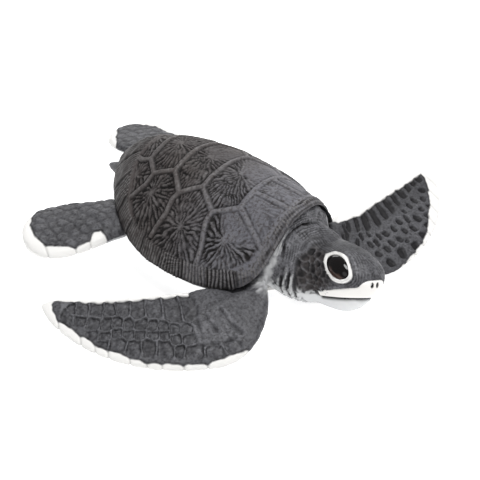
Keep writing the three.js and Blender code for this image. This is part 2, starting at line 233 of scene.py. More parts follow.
def domePoint(angle, radius, inset, drop):  # angle 0 ahead, radius 0 on top and 1 at the rim
    d = shellForm
    rimAhead = (d["halfLength"] - inset) * np.cos(angle)
    ahead = -d["apexBack"] + (rimAhead + d["apexBack"]) * radius
    side = np.sign(np.sin(angle)) * shellHalfWidth(rimAhead, inset) * radius
    height = (d["base"] + (rimHeight(angle, radius) - d["base"]) * radius ** 2
              + d["rise"] * np.clip(1 - radius ** d["crownPower"], 0, 1) ** d["flankPower"]
              - d["lean"] * ahead * (1 - radius ** 2))
    return np.stack([shellMiddle.x + side, shellMiddle.y - ahead, height - drop], -1)


def onDome(line):  # lifts a line in plan onto the dome, on one flank, in steps of about 3 mm
    dense = []
    for (a0, s0), (a1, s1) in zip(line[:-1], line[1:]):
        steps = max(1, round(math.hypot(a1 - a0, s1 - s0) / 3))
        dense += [(a0 + (a1 - a0) * k / steps, s0 + (s1 - s0) * k / steps) for k in range(steps)]
    dense.append(line[-1])
    plan = np.array(dense)
    both = []
    for flank in (-1, 1):
        target = np.stack([shellMiddle.x + flank * plan[:, 1], shellMiddle.y - plan[:, 0]], -1)
        radius = np.full(len(plan), 0.5)
        angle = np.arctan2(flank * plan[:, 1], plan[:, 0])
        for _ in range(30):
            want = target - shellMiddle.xy
            have = domePoint(angle, radius, 0, 0)[:, :2] - shellMiddle.xy
            for offset in (want, have):
                offset[:, 1] -= shellForm["apexBack"] * (1 - radius)
            radius = np.clip(radius * np.hypot(*want.T) / np.maximum(np.hypot(*have.T), 1e-6), 0.001, 1)
            turn = np.arctan2(want[:, 0], -want[:, 1]) - np.arctan2(have[:, 0], -have[:, 1])
            angle = angle + np.arctan2(np.sin(turn), np.cos(turn))
        both.append(domePoint(angle, radius, 0, 0))
    return both


def makeShell():
    n = shellLook["cells"]
    bpy.ops.mesh.primitive_grid_add(x_subdivisions=n, y_subdivisions=n, size=2)
    shell = renamed("shell")
    flat = getPoints(shell) * mm
    u, v = flat[:, 0], flat[:, 1]
    radius = np.maximum(np.abs(u), np.abs(v))
    wide = np.abs(u) >= np.abs(v)
    safe = np.maximum(radius, 1e-9)
    turn = np.where(wide, math.pi / 4 * v / (safe * np.where(u < 0, -1, 1)) + math.pi * (u < 0),
                    math.pi / 2 - math.pi / 4 * u / (safe * np.where(v < 0, -1, 1)) + math.pi * (v < 0))
    setPoints(shell, np.stack([radius * np.cos(turn), radius * np.sin(turn), 0 * u], -1) / mm)
    bpy.ops.object.mode_set(mode="EDIT")
    bpy.ops.mesh.select_all(action="DESELECT")
    bpy.ops.mesh.select_mode(type="EDGE")
    bpy.ops.mesh.select_non_manifold()
    last = 1
    for ring in shellLook["turnUnder"]:
        bpy.ops.mesh.extrude_region_move()
        bpy.ops.transform.resize(value=(ring / last, ring / last, 1))
        last = ring
    bpy.ops.mesh.edge_face_add()
    bpy.ops.object.mode_set(mode="OBJECT")
    flat = getPoints(shell) * mm
    ring = np.hypot(flat[:, 0], flat[:, 1])
    turn = np.arctan2(flat[:, 1], flat[:, 0])
    angle = turn - 0.12 * np.sin(2 * turn)
    under = ring > 1.0001
    t = np.where(under, 2 - ring, ring)
    radius = np.sin(np.clip(t, 0, 1) * math.pi / 2) ** 0.9
    top = domePoint(angle, radius, 0, 0)
    d = shellForm
    wall = d["wall"] + (d["rimWall"] - d["wall"]) * radius ** 5
    bottom = domePoint(angle, radius, d["rimInset"], wall)
    setPoints(shell, np.where(under[:, None], bottom, top))
    editMesh(shell, (bpy.ops.mesh.normals_make_consistent, {"inside": False}))
    return shell, angle, radius, under


def plateOf(ahead, side):  # which plate a point of the dome lies on, inside the rim plates
    edge = np.array(vertebralEdge)
    order = np.argsort(edge[:, 0])
    halfVertebral = np.interp(ahead, edge[order, 0], edge[order, 1])
    cuts = [cross[0] for cross in crossSeams]
    vertebral = sum((ahead < cut).astype(int) for cut in cuts)
    costal = np.zeros(len(ahead), int)
    for seam in costalSeams:
        line = np.array(seam)
        costal += (ahead < np.interp(side, line[:, 1], line[:, 0])).astype(int)
    return np.where(side < halfVertebral, vertebral, 5 + costal)


def carveShell(shell, angle, radius, under):
    look = shellLook
    points, normals = getPoints(shell), getNormals(shell)
    ahead, side = shellMiddle.y - points[:, 1], np.abs(points[:, 0] - shellMiddle.x)
    degrees = np.degrees(np.abs(angle))
    inner = np.interp(degrees, list(marginInner), list(marginInner.values()))
    # how far each point is from the seams, in mm
    seamGap = np.full(len(points), 1e9)
    lines = [vertebralEdge] + costalSeams + [[(a, 0.01), (a, w)] for a, w in crossSeams]
    for line in lines:
        for lifted in onDome(line):
            seamGap = np.minimum(seamGap, lineDistance(points, lifted))
    ringScale = 46 + 6 * np.cos(2 * angle)  # mm of flank for a whole radius
    marginGap = (radius - inner) * ringScale
    inside = marginGap < 0
    seamGap = np.where(marginGap > -0.5, np.maximum(seamGap, 9), seamGap)
    onFlank = ramp(degrees, 30, 46) * (1 - ramp(degrees, 105, 125))
    plateGap = np.minimum(seamGap, np.abs(marginGap) + 1.3 * onFlank)
    # star grooves: narrow spokes that fork as they spread, deeper away from the head
    plate = plateOf(ahead, side)
    star = np.array(stars)[plate]
    isVertebral = plate < 5
    sideSign = np.sign(points[:, 0] - shellMiddle.x)
    da = ahead - star[:, 0]
    ds = np.where(isVertebral, points[:, 0] - shellMiddle.x, side - star[:, 1])
    reach = np.hypot(da, ds)
    spoke = np.arctan2(ds, da)
    smoothSide = np.cos(spoke - np.radians(star[:, 3]))  # 1 towards the smooth side of the plate
    depth = star[:, 2] * (1 - 0.85 * ramp(smoothSide, 0.05, 0.75) * star[:, 4])
    depth = depth * (0.55 + 0.6 * ramp(noise(points, 7, 5), 0.3, 0.6))
    wander = 7 * noise(points, 3.2, 3) + 8 * noise(points, 11, 4) + 2.2 * noise(points, 1.3, 6)
    spokes = 0
    for count, start, end in look["spokes"]:
        band = ramp(reach, start, start + 1.2) * (1 - ramp(reach, end, end + 2))
        wave = 0.5 + 0.5 * np.cos(count * spoke + wander)
        spokes = np.maximum(spokes, band * ramp(wave, 0.36, 0.8) * (0.2 + 1.2 * noise(points, 1.9, count)))
    groove = spokes * ramp(plateGap, 1.0, 1.7) * inside * np.clip(depth, 0, 1.2)
    # raised flat-topped seams with a narrow dark moat beside them, fainter towards the neck
    rough, fine = noise(points, 2.2, 51), noise(points, 0.9, 52)
    faint = 1 - 0.55 * ramp(ahead, 22, 27)
    marginRidge = np.interp(degrees, (0, 24, 40, 110, 135, 180), (0.6, 0.55, 0.08, 0.1, 0.5, 0.4))
    marginCrest = marginRidge * (1 - ramp(np.abs(marginGap), 0.5, 1.1))
    ridge = np.maximum(faint * (1 - ramp(seamGap + 0.4 * (rough - 0.5), 0.5, 1.15)), marginCrest)
    moat = hill(seamGap - 1.4, 0.42) * inside * (0.6 + 0.4 * np.clip(depth, 0, 1)) * (0.5 + 0.9 * rough)
    # rim plates: radial fingers on the flanks, soft folds over the neck and the tail
    rimAngles = np.linspace(0, math.pi, 400)
    rimLine = domePoint(rimAngles, np.ones(400), 0, 0)
    arc = np.concatenate([[0], np.cumsum(np.linalg.norm(np.diff(rimLine, axis=0), axis=1))])
    run = np.interp(np.abs(angle), rimAngles, arc)
    rimRun = run + 1.2 * (noise(points, 6, 21) - 0.5)
    plateRun = (rimRun + look["rimStart"]) % look["rimPlate"]
    fingers = ramp(0.5 + 0.5 * np.cos(2 * math.pi * rimRun / look["fingerStep"]), 0.3, 0.8)
    plateKey = np.floor((rimRun + look["rimStart"]) / look["rimPlate"]) * 3 + sideSign * 50
    fingers = fingers * (0.35 + 1.1 * noise(np.stack([run / 1.7, sideSign * 9, 0 * run], -1), 1, 22))
    flank = (0.3 + 0.7 * ramp(degrees, 30, 42)) * (1 - 0.65 * ramp(degrees, 66, 92))
    flank = flank * (0.45 + 0.75 * noise(np.stack([plateKey, 0 * run, 0 * run], -1), 1, 23))
    onMargin = ramp(marginGap + 0.7 * onFlank, 0.2, 0.9) * (1 - 0.35 * ramp(radius, 0.985, 1))
    uneven = noise(np.stack([run / 1.2, sideSign * 5, 0 * run], -1), 1, 25) - 0.5
    length = 1 - ramp(marginGap + 2.5 * uneven, 2.6, 4.6)
    finger = fingers * flank * onMargin * (0.25 + 0.75 * length) * (~under)
    seamAway = np.minimum(plateRun, look["rimPlate"] - plateRun)
    marginSeam = hill(seamAway, 0.5) * onMargin * ramp(degrees, 28, 40)
    front = onMargin * (1 - ramp(degrees, 24, 44))
    folds = ramp(0.5 + 0.5 * np.sin(marginGap * 3.4 + 6 * noise(points, 4.5, 24)), 0.1, 0.8) * front
    lumps = onMargin * ramp(degrees, 62, 84) * noise(points, 2.6, 53)
    grain = noise(points, 1.1, 31) + 0.6 * noise(points, 0.55, 32) - 0.8
    height = (look["seamHeight"] * ridge - look["moat"] * moat - look["grooveDepth"] * groove
              + look["fingerHeight"] * (finger - 0.3 * onMargin * flank) - 0.3 * marginSeam
              + 0.4 * folds + 0.6 * lumps + 0.09 * grain - look["sink"])
    height = np.where(under, -0.2, height)
    setPoints(shell, points + normals * height[:, None])
    crest = (1 - spokes) * inside * ramp(depth, 0.2, 0.8) * ramp(plateGap, 1.2, 2)
    plain = inside * (1 - ramp(depth, 0.3, 0.8))
    lip = ramp(radius, 0.97, 0.995) * (1 - ramp(degrees, 26, 34))
    # light paint catches on what stands up, and dark wash runs into what lies low, with painted shade in the
    # grooves, between the rim fingers and under the rim
    setPaint(shell, "dryBrush", ridge * (0.1 + 0.7 * fine) + 9 * finger * (0.6 + fine) + 0.4 * folds * fine
             + crest * (0.15 + 0.55 * fine) + 0.5 * plain * fine * rough + 0.5 * lumps * fine
             + 0.7 * lip * rough)
    setPaint(shell, "washAndShade", 1.6 * groove + 0.8 * moat + 0.8 * marginSeam + 0.7 * (front - folds) * rough
             # painted shade under the turned-under rim
             + 0.95 * under * (1 - lip) * (0.3 + 0.7 * ramp(degrees, 20, 40))
             + 1.1 * (1 - ramp(finger, 0, 0.3)) * flank * onMargin
             + 0.15 * np.clip(depth, 0, 1) * inside * (1 - ridge)
             # painted shade along the lower edge of the rim
             + 0.5 * ramp(radius, 0.985, 1) * ramp(degrees, 34, 44)
             + 0.45 * onMargin * (1 - rough) * ramp(degrees, 62, 84))
    setPaint(shell, "warmth", ramp(-ahead, -34, 8) * (1 - 0.25 * noise(points, 14, 41)))


print("shell")
shell, shellAngle, shellRadius, shellUnder = makeShell()
carveShell(shell, shellAngle, shellRadius, shellUnder)
bpy.ops.object.shade_smooth()


# Skin: trunk, neck, head, jaw, flippers and tail in one piece. The left rear flipper doesn't reach
# the trunk, so it is a closed surface of its own.

fleshNodes = ["trunk", "neck", "head", "jaw", "front_flipper_right", "front_flipper_left",
              "rear_flipper_right", "rear_flipper_left", "tail"]
skinForm = {"closeSlits": 0.2, "voxel": 0.43, "smoothing": 8, "triangles": 196000,
            "covered": 0.03, "below": 0.28}  # the last two are the shares of faces kept there
headForm = {
    "at": (0.4, -60, 15.2), "yaw": 13, "pitch": 16, "roll": 19, "length": 30.5, "halfWidth": 12.9,
    "crown": 12.4, "jaw": 14.5, "brow": 0.25, "frontPower": 3, "chinPower": 3.8, "jawShort": 0.88,
    "mouthCorner": 8.7, "mouthUp": (-8.9, -4.6), "beakUp": -6.5, "beakSlope": 0.31, "beakTab": 2.6,
}
eyeForm = {
    "along": 18.5, "out": 9.1, "up": 5, "lookUp": 29, "lookAhead": 17, "tilt": 17,
    "halfLength": 6.9, "halfHeight": 4.2, "thick": 3.0, "farSink": 1, "lidLength": 6.85, "lidHeight": 4.1,
}
limbs = {  # the root of each limb, where it points, how its leading edge dips (degrees) and its side
    "front_flipper_right": {"at": (-36, -38.5, 13.4), "towards": (-0.653, 0.751, -0.08), "dip": 19,
                            "side": -1},
    "front_flipper_left": {"at": (24, -40, 11), "towards": (1, -0.018, -0.045), "dip": 15, "side": 1},
    "rear_flipper_right": {"at": (-22, 30, 11.2), "towards": (-0.835, 0.54, -0.07), "dip": 3, "side": -1},
    "rear_flipper_left": {"at": (25.5, 42, 12.3), "towards": (0.2, 0.97, -0.14), "dip": 6, "side": 1},
}
# Dents of the front flippers: span, chord, half span, half chord, lean. Slats stand along the
# trailing edge, small ovals in the middle and larger ones behind the white scales.
nearDents = [
    (62, 4.4, 2.4, 1.8, 0), (56.9, 4.6, 2.4, 2.2, 0), (51.2, 5.2, 2.4, 2.6, 0), (46.2, 5.4, 2, 3.0, -0.1),
    (40.9, 5.5, 2.1, 3.3, -0.1), (34.8, 6.4, 2.2, 4.0, -0.06), (28.5, 6.8, 2.6, 4.2, 0),
    (21.3, 8, 2.6, 5.6, -0.2), (14.9, 7.4, 2.5, 6.2, -0.24), (57.5, 10, 2.2, 2.0, 0),
    (52.2, 11.6, 2.2, 2.2, 0.1), (47.4, 12.4, 2.0, 2.2, 0), (42.9, 11.8, 1.8, 2.2, 0),
    (38.6, 13.0, 1.6, 2.2, 0), (33.6, 13.6, 2, 1.9, 0), (29.1, 14.6, 1.7, 2.2, 0),
    (24.6, 15.2, 1.8, 2.0, 0), (20.2, 16.8, 1.7, 2.0, 0), (15.6, 17.4, 2, 2, 0), (47.6, 17.6, 1.8, 1.7, 0),
    (43, 16.6, 1.6, 1.7, 0), (38.6, 18.2, 1.8, 1.9, 0), (34, 18.3, 1.7, 1.8, 0), (29, 19.2, 1.9, 1.7, 0),
    (24.2, 19.6, 1.8, 1.8, 0), (19.8, 21.6, 1.8, 2, 0), (14.6, 22.2, 2.2, 1.9, 0), (53, 16.8, 2.1, 1.8, 0),
    (48.4, 21.4, 2.0, 1.6, 0), (42.4, 22.4, 2.5, 2.2, 0), (36.1, 24, 2.4, 2.9, 0),
    (30.4, 24.8, 2.4, 3.2, 0), (24, 25.6, 2.8, 3.2, 0), (18.6, 26.9, 1.7, 2.4, 0), (12.9, 28, 3.2, 2.6, 0),
    (5, 28.4, 3.3, 2.2, 0), (-2, 26.2, 2.8, 2.2, 0), (63, 9.6, 1.8, 1.6, 0),
]
farDents = [
    (62, 4.8, 2, 1.6, -0.2), (57.4, 5.2, 1.7, 2, -0.3), (52.6, 5.8, 1.7, 2.2, -0.3),
    (47, 6.6, 1.8, 2.6, -0.3), (41.3, 7.3, 1.7, 3.4, -0.35), (35.4, 8.4, 2.0, 4.6, -0.48),
    (29.7, 8.8, 1.6, 4.7, -0.48), (23.9, 9.7, 1.8, 4.9, -0.5), (18, 9.6, 2.1, 4.5, -0.7),
    (13.4, 8.2, 1.2, 3.4, -0.8), (8.5, 18.6, 1.3, 1.9, -0.3), (11.8, 19.4, 1.3, 2.1, -0.3),
    (15.6, 18.0, 1.3, 2.0, -0.3), (19.6, 18.4, 1.6, 1.8, 0), (25.0, 18.6, 1.5, 1.8, -0.3),
    (31.0, 17.0, 1.7, 1.8, 0), (28.7, 22.1, 1.7, 1.8, 0), (22.6, 23.9, 1.6, 1.8, 0),
    (24.9, 26.2, 1.2, 1.1, 0), (35.5, 17.8, 1.3, 2.3, -0.3), (43.2, 13.4, 1.4, 1.8, 0),
    (48.5, 12.3, 1.4, 2.2, 0), (46.9, 17.4, 1.3, 1.6, 0), (52.8, 14.0, 1.7, 1.9, 0),
    (40.4, 20.2, 1.8, 2.3, 0), (33.6, 23.2, 1.9, 2.1, 0), (17.4, 23.6, 1.6, 2.2, 0),
    (12.8, 24.4, 1.7, 2.2, 0), (7.2, 24.2, 1.7, 2, 0), (38.4, 14.4, 1.3, 1.6, 0),
    (57.2, 10.4, 1.7, 1.8, 0), (8.6, 30.4, 2.2, 2.4, 0), (17.4, 29.6, 2.8, 2.9, -0.2),
    (26.2, 30.2, 2.6, 2.4, -0.2), (34.6, 28.0, 2.3, 2.2, 0), (40.8, 25.2, 1.8, 1.8, 0),
    (46.4, 21.8, 1.8, 1.8, 0), (51, 18.2, 1.3, 1.5, 0), (9.3, 6.5, 1.1, 2.8, -0.8),
    (5.6, 8.8, 1.2, 3.2, -0.9), (9, 13.4, 1.0, 2.4, -0.6), (4.6, 14.8, 1.2, 2.6, -0.8),
    (1.2, 10, 1.1, 3, -0.9), (12.8, 14.4, 1.0, 1.7, -0.4),
]
whiteBreaks = {  # where one white edge scale meets the next, along the span
    "front_flipper_right": [65.9, 57.3, 51.8, 46.7, 38.5, 32, 26.3, 17.9, 8.8],
    "front_flipper_left": [66, 60, 53, 46, 39, 31.5, 24, 16, 8],
    "rear_flipper_right": [36.5, 25, 18.3],
    "rear_flipper_left": [40, 33, 26],
}
darkOutline = {  # span and chord of the grey field; outside it the limb is white
    "front_flipper_right": [(69.4, 1), (68.6, 4.2), (66, 9), (50.4, 21.7), (39.1, 27.1), (32.4, 30.2),
                            (26.7, 31.2), (17.2, 32.6), (7.9, 32.8), (1.6, 30.7), (-8.1, 27.6), (-9, 50),
                            (-50, 50), (-50, -50), (11, -50), (15, 0.9), (35, 1.7), (50, 1.7), (60, 0.5),
                            (68.2, -0.8)],
    "front_flipper_left": [(65.6, 2.9), (65.1, 5.4), (62.8, 8.8), (56.9, 14.6), (52.3, 18.3), (41.9, 25.2),
                           (36.9, 28.4), (29.7, 30.8), (18.1, 33.2), (10.6, 34), (3.8, 33.4), (-4, 50),
                           (-50, 50), (-50, -50), (6, -50), (8, 1.5), (19.2, 4.2), (31.1, 3.4), (49.7, 3.4)],
    "rear_flipper_right": [(33.4, -16.8), (37.5, -12.8), (40.5, -5.1), (39.8, 3), (36.2, 10), (24.7, 14.7),
                           (18.5, 12.7), (15.6, 9.5), (13, 9.6), (11.4, 13), (12, 50), (-50, 50),
                           (-50, -50), (32, -50)],
    "rear_flipper_left": [(36.4, -10.7), (43.5, -4.7), (41.9, 1.3), (34.4, 9.6), (23.4, 9.8), (12, 11),
                          (0, 50), (-50, 50), (-50, -50), (10, -50), (20.8, -20.2)],
}
shoulderFolds = [  # valleys of the near shoulder, in span and chord
    [(8.6, 12.2), (6.4, 15.4), (4.1, 19.2), (1.8, 23.4)], [(2.8, 9.4), (1.2, 12), (-1.2, 16.5), (-5.3, 20.6)],
    [(11.6, 14), (10.6, 18), (9.6, 22)], [(12, 24.8), (7, 25.2), (1.5, 24.4), (-3, 22.6)],
]
# Lines on the near side, mirrored to the far one: ahead, side and height, then in the head's frame.
collarArc = [(52.5, 12, 22), (51.6, 8, 28), (50.7, 3.9, 31), (49.5, -3, 33.5), (49.1, -8, 33.1),
             (48.7, -10.1, 31.9), (48.4, -11.9, 29.6), (48.7, -12.9, 26.8), (49.2, -14.8, 22), (50, -16, 17)]
paleStrip = [(48.6, -12.5, 34), (48.2, -14.9, 30.6), (47.4, -15.9, 25.7), (46.6, -17.8, 21.5),
             (45.9, -19.4, 18.6), (45.5, -20.8, 15.2), (46.5, -22, 11)]
cheekFold = [(0.1, 17.7, -3), (0.1, 17.7, 1.2), (-0.6, 17.8, 3.5), (0.2, 16.1, 7), (2.1, 14.6, 7.2),
             (2.4, 13.1, 9), (2.1, 11.4, 11.4), (4, 8.6, 12.5), (8, 7, 13)]


def local(points, at, axes):  # into a frame whose axes are the rows given
    offset = points - np.array([shellMiddle.x, shellMiddle.y, 0]) - np.array(at)
    return offset @ np.array(axes).T


def headAxes():
    yaw, pitch, roll = (math.radians(headForm[key]) for key in ("yaw", "pitch", "roll"))
    along = Vector((-math.sin(yaw) * math.cos(pitch), -math.cos(yaw) * math.cos(pitch), math.sin(pitch)))
    level = Vector((math.cos(yaw), -math.sin(yaw), 0))
    lift = level.cross(-along)
    lift = lift if lift.z > 0 else -lift
    cosine, sine = math.cos(roll), math.sin(roll)
    return [along, level * cosine - lift * sine, level * sine + lift * cosine]


def limbAxes(limb):  # span, chord and lift
    span = Vector(limb["towards"]).normalized()
    chord = Vector((0, 0, 1)).cross(span).normalized() * -limb["side"]
    angle = math.radians(limb["dip"]) * limb["side"]
    chord = chord * math.cos(angle) + span.cross(chord) * math.sin(angle)
    lift = chord.cross(span) * -limb["side"]
    return [span, chord, lift if lift.z > 0 else -lift]


def mouthUp(s):
    h = headForm
    return h["mouthUp"][0] + (h["mouthUp"][1] - h["mouthUp"][0]) * (s - h["mouthCorner"]) / (
        h["length"] - h["mouthCorner"])


def beakTopUp(s):
    h = headForm
    return h["beakUp"] + h["beakSlope"] * (s - h["mouthCorner"]) + h["beakTab"] * ramp(s, 27.2, 30)


def headHalfWidth(s, up):  # of the smooth head at a place along it and a height
    h = headForm
    k = np.clip(s / h["length"], 0, 1)
    slim = np.sqrt(np.clip(1 - k ** h["frontPower"], 0, 1))
    top = np.clip(up / np.maximum(h["crown"] * slim, 1e-6), 0, 1)
    low = np.clip(-up / h["jaw"], 0, 1)
    kLow = np.clip(s / (h["length"] * (1 - (1 - h["jawShort"]) * low)), 0, 1)
    low = np.clip(-up / np.maximum(h["jaw"] * np.sqrt(np.clip(1 - kLow ** h["chinPower"], 0, 1)), 1e-6), 0, 1)
    slimLow = np.sqrt(np.clip(1 - kLow ** h["frontPower"], 0, 1))
    sine = np.where(up > 0, top, -low)
    wide = h["halfWidth"] * np.where(up > 0, slim, slimLow)
    return wide * np.sqrt(np.clip(1 - sine * sine, 0, 1)) * (1 + h["brow"] * sine)


headFrame = headAxes()


def fromHead(points):  # along, out and up of the head, back to the scene
    origin = np.array([shellMiddle.x, shellMiddle.y, 0])
    return points @ np.array(headFrame) + np.array(headForm["at"]) + origin


def eyeAxes(side):  # out of the eye, along its slit and across it, in the head's frame
    lift, ahead = math.radians(eyeForm["lookUp"]), math.radians(eyeForm["lookAhead"])
    out = np.array([math.sin(ahead), side * math.cos(lift) * math.cos(ahead),
                    math.sin(lift) * math.cos(ahead)])
    slit = np.array([1.0, 0, 0]) - out * out[0]
    slit /= np.linalg.norm(slit)
    down = np.cross(out, slit) * side
    tilt = math.radians(eyeForm["tilt"])
    return out, slit * math.cos(tilt) + down * math.sin(tilt), down * math.cos(tilt) - slit * math.sin(tilt)


def eyeMiddle(side):
    middle = np.array([eyeForm["along"], side * eyeForm["out"], eyeForm["up"]])
    return middle - eyeAxes(side)[0] * (eyeForm["farSink"] if side > 0 else 0)


def lidPoint(turn, side):  # the almond of the eyelids, pointed in front and fuller below
    e = eyeForm
    out, slit, down = eyeAxes(side)
    cosine, sine = np.cos(turn), np.sin(turn)
    p = e["lidLength"] * np.sign(cosine) * np.abs(cosine) ** np.where(cosine > 0, 1.4, 1.02) - 0.1
    q = e["lidHeight"] * sine * np.where(sine < 0, 1 - 0.25 * cosine, 1 + 0.32 * cosine)
    bulge = (1.75 if side < 0 else 1.2) - 0.016 * p * p - 0.07 * q * q
    return eyeMiddle(side) + p[:, None] * slit + q[:, None] * down + bulge[:, None] * out


def addEyelid(side):
    bpy.ops.mesh.primitive_torus_add(major_segments=96, minor_segments=16, major_radius=1, minor_radius=0.25)
    lid = renamed("eyelid")
    ring = getPoints(lid) * mm
    turn = np.arctan2(ring[:, 1], ring[:, 0])
    outward, lifted = (np.hypot(ring[:, 0], ring[:, 1]) - 1) / 0.25, ring[:, 2] / 0.25
    centre = lidPoint(turn, side)
    ahead, behind = lidPoint(turn + 0.02, side), lidPoint(turn - 0.02, side)
    out = eyeAxes(side)[0]
    along = (ahead - behind) / np.linalg.norm(ahead - behind, axis=1)[:, None]
    away = np.cross(along, out)
    away *= np.sign((away * (centre - lidPoint(turn + math.pi, side))).sum(1))[:, None]
    # the ring is broader over the back and the top of the eye
    broad = 0.68 + 0.3 * ramp(np.cos(turn + 2.2), -0.4, 0.9)
    points = centre + away * (outward * broad)[:, None] + out * (lifted * 0.8)[:, None]
    setPoints(lid, fromHead(points))
    return lid


def dentField(s, c, dents, points, edge):  # nearness to the nearest dent and to the next one
    s = s + 1.1 * (noise(points, 3, 61) - 0.5) + 0.5 * (noise(points, 1.3, 63) - 0.5)
    c = c + 1.1 * (noise(points, 3, 62) - 0.5) + 0.5 * (noise(points, 1.3, 64) - 0.5)
    nearest, second = np.full(len(s), 9.0), np.full(len(s), 9.0)
    tone = np.zeros(len(s))
    for number, (s0, c0, halfSpan, halfChord, lean) in enumerate(dents):
        if c0 < 9.8:  # the slats run out to the trailing edge
            c0, halfChord = (c0 + halfChord + edge) / 2, (c0 + halfChord - edge) / 2
        across = np.abs(s - s0 - lean * (c - c0)) / halfSpan
        down = np.abs(c - c0) / halfChord
        d = (across ** 2.6 + down ** 2.6) ** (1 / 2.6)
        closer = d < nearest
        second = np.where(closer, nearest, np.minimum(second, d))
        tone = np.where(closer, latticeValue(np.array([number, 3, 5]), 8), tone)
        nearest = np.where(closer, d, nearest)
    return nearest, second, tone


def depthInside(flat, corners):  # mm inside a closed outline, negative outside it
    corners = np.asarray(corners, float)
    inside = np.zeros(len(flat), bool)
    x, y = flat[:, 0], flat[:, 1]
    for (ax, ay), (bx, by) in zip(corners, np.roll(corners, -1, axis=0)):
        if ay != by:
            inside ^= ((ay > y) != (by > y)) & (x < (bx - ax) * (y - ay) / (by - ay) + ax)
    gap = lineDistance(flat, np.vstack([corners, corners[:1]]))
    return np.where(inside, gap, -gap)


def fineCreases(w, spacing, points, seed):  # thin broken lines along steps of w
    bent = w + 0.9 * noise(points, 5, seed) + 0.35 * noise(points, 1.6, seed + 1)
    line = 0.5 + 0.5 * np.cos(2 * math.pi * bent / spacing)
    return ramp(line, 0.45, 0.95) * ramp(noise(points, 3.2, seed + 2), 0.25, 0.6)


def jitteredSeeds(spanRange, chordRange, step, seed):
    found = []
    for i, a in enumerate(np.arange(*spanRange, step)):
        for j, b in enumerate(np.arange(*chordRange, step * 0.9)):
            nudge = latticeValue(np.array([[i, j, 1], [i, j, 2]]), seed) - 0.5
            found.append((a + step * (0.5 * (j % 2) + 0.55 * nudge[0]), b + step * 0.5 * nudge[1]))
    return np.array(found)


def twoNearest(points, seeds):  # distances to the nearest and the second nearest seed
    first, second = np.full(len(points), 1e9), np.full(len(points), 1e9)
    for seed in seeds:
        gap = points - seed
        d = np.sqrt((gap * gap).sum(1))
        second = np.minimum(second, np.maximum(first, d))
        first = np.minimum(first, d)
    return first, second


def nearNode(points, names, reach=3.0):  # distance to CAD nodes, or reach where further
    found = np.full(len(points), reach)
    for name in names:
        mesh = nodes[name].data
        tree = BVHTree.FromPolygons([v.co / mm for v in mesh.vertices], [p.vertices for p in mesh.polygons])
        low, high = (np.array(corner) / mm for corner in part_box(name))
        close = np.where(((points > low - reach) & (points < high + reach)).all(1))[0]
        for k in close:
            hit = tree.find_nearest(points[k], reach)
            if hit[3] is not None and hit[3] < found[k]:
                found[k] = hit[3]
    return found


def makeSkin():
    skin = copyOf(fleshNodes + ["beak"], "skin")
    applyModifier(skin, "DISPLACE", strength=skinForm["closeSlits"] * mm, mid_level=0)
    lids = [addEyelid(-1), addEyelid(1)]
    activate(skin, *lids)
    bpy.ops.object.join()
    applyModifier(skin, "REMESH", mode="VOXEL", voxel_size=skinForm["voxel"] * mm)
    applyModifier(skin, "SMOOTH", factor=0.5, iterations=skinForm["smoothing"])
    return skin


def layOver(paint, name, mask):  # where a paint is already thicker, it stays
    paint[name] = np.maximum(paint[name], mask)


def edgeScales(name, flat, on, facing, points, paint):  # white scales along the edge of a limb
    s = flat[:, 0]
    breakGap = np.abs(s[:, None] + 0.05 * flat[:, 1:] - np.array(whiteBreaks[name]) - 1).min(1)
    inside = depthInside(flat, darkOutline[name])
    border = inside + 0.6 * (noise(points, 2, 71) - 0.5) + 0.5 * hill(breakGap, 1.1)
    white = (1 - ramp(border, -0.3, 0.3)) * on
    leading = white * ramp(flat[:, 1], 4, 7)
    paint["height"] += 0.15 * white - 0.6 * leading * hill(breakGap, 0.45) - 0.25 * hill(border, 0.35) * on
    paint["washShade"] += 0.28 * leading * hill(breakGap, 0.28) + 0.5 * on * hill(border - 0.55, 0.3)
    layOver(paint, "white", white * ramp(facing, -0.95, -0.7))
    layOver(paint, "pale", on * (1 - ramp(facing, -0.5, -0.2)))
    return (1 - white) * on * ramp(facing, -0.25, 0.1)


